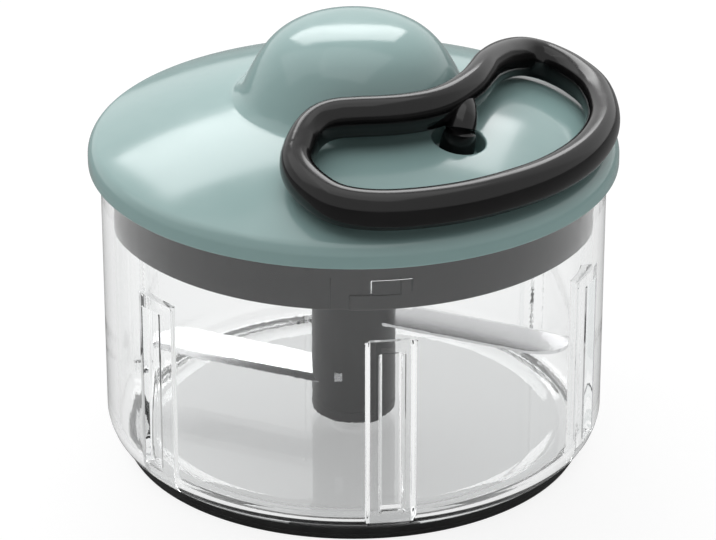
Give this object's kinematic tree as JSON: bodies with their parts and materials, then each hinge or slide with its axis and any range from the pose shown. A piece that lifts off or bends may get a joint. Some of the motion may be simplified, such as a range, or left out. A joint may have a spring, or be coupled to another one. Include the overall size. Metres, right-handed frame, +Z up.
{
  "type": "hand-pulled food chopper",
  "caption": "Hand-driven food chopper: clear round bowl, domed green cover with a reel housing, black loop handle on a pull cord, and a bladed hub turned through a one-way clutch.",
  "frame": {"origin": "middle of the base, on the surface that the object stands on", "axes": "+Z up along the bowl and blade axis; the front, as pictured, faces -Y"},
  "size_m": [0.165, 0.165, 0.141],
  "materials": {
    "clear_plastic": "clear gloss",
    "black_rubber": "matte",
    "steel": "turned",
    "spring_steel": "blued strip",
    "blade_steel": "fine brushed",
    "grey_plastic": "satin",
    "green_plastic": "gloss",
    "black_plastic": "satin gloss",
    "white_plastic": "natural acetal",
    "cord": "braided"
  },
  "bodies": {
    "bowl": {"bowl": "clear_plastic", "base_ring": "black_rubber", "spindle_pin": "steel"},
    "lid": {"collar": "grey_plastic", "seal_ring": "black_rubber", "shaft_bush": "white_plastic", "lid_screws": "steel", "cover": "green_plastic", "cord_eyelet": "black_plastic", "reel_axle": "steel", "axle_clip": "steel", "spring_arbor": "steel", "spring_cover": "grey_plastic", "recoil_spring": "spring_steel", "thrust_washer": "white_plastic", "pull_cord": "cord"},
    "reel": {"cord_reel": "white_plastic", "cord_winding": "cord", "clutch_ring": "white_plastic"},
    "drive": {"drive_shaft": "steel", "shaft_clip": "steel", "clutch_pawls": "steel"},
    "blades": {"blade_hub": "grey_plastic", "lower_blade": "blade_steel", "upper_blade": "blade_steel", "blade_pins": "steel", "hub_bush": "white_plastic", "drive_socket": "white_plastic"},
    "handle": {"pull_handle": "black_plastic", "stem_plug": "black_plastic", "cord_ferrule": "steel"}
  },
  "joints": [
    {"name": "lid_lift", "type": "slide", "parent": "bowl", "child": "lid", "axis": [0, 0, 1], "range_m": [0, 0.09]},
    {"name": "handle_pull", "type": "slide", "parent": "lid", "child": "handle", "axis": [0.1572, -0.1508, 0.976], "range_m": [0, 0.28], "stiffness_N_per_m": 5},
    {"name": "reel_spin", "type": "hinge", "parent": "lid", "child": "reel", "pos_m": [0, 0, 0.1], "axis": [0, 0, 1], "range_deg": [0, 664]},
    {"name": "drive_spin", "type": "hinge", "parent": "lid", "child": "drive", "pos_m": [0, 0, 0.086], "axis": [0, 0, 1], "range_deg": [0, 664]},
    {"name": "blade_spin", "type": "hinge", "parent": "bowl", "child": "blades", "pos_m": [0, 0, 0.02], "axis": [0, 0, 1], "range_deg": [0, 664]}
  ],
  "couplings": [
    {"joint": "reel_spin", "follows": "handle_pull", "rad_per_m": 40.984},
    {"joint": "drive_spin", "follows": "handle_pull", "rad_per_m": 40.984},
    {"joint": "blade_spin", "follows": "handle_pull", "rad_per_m": 40.984}
  ]
}
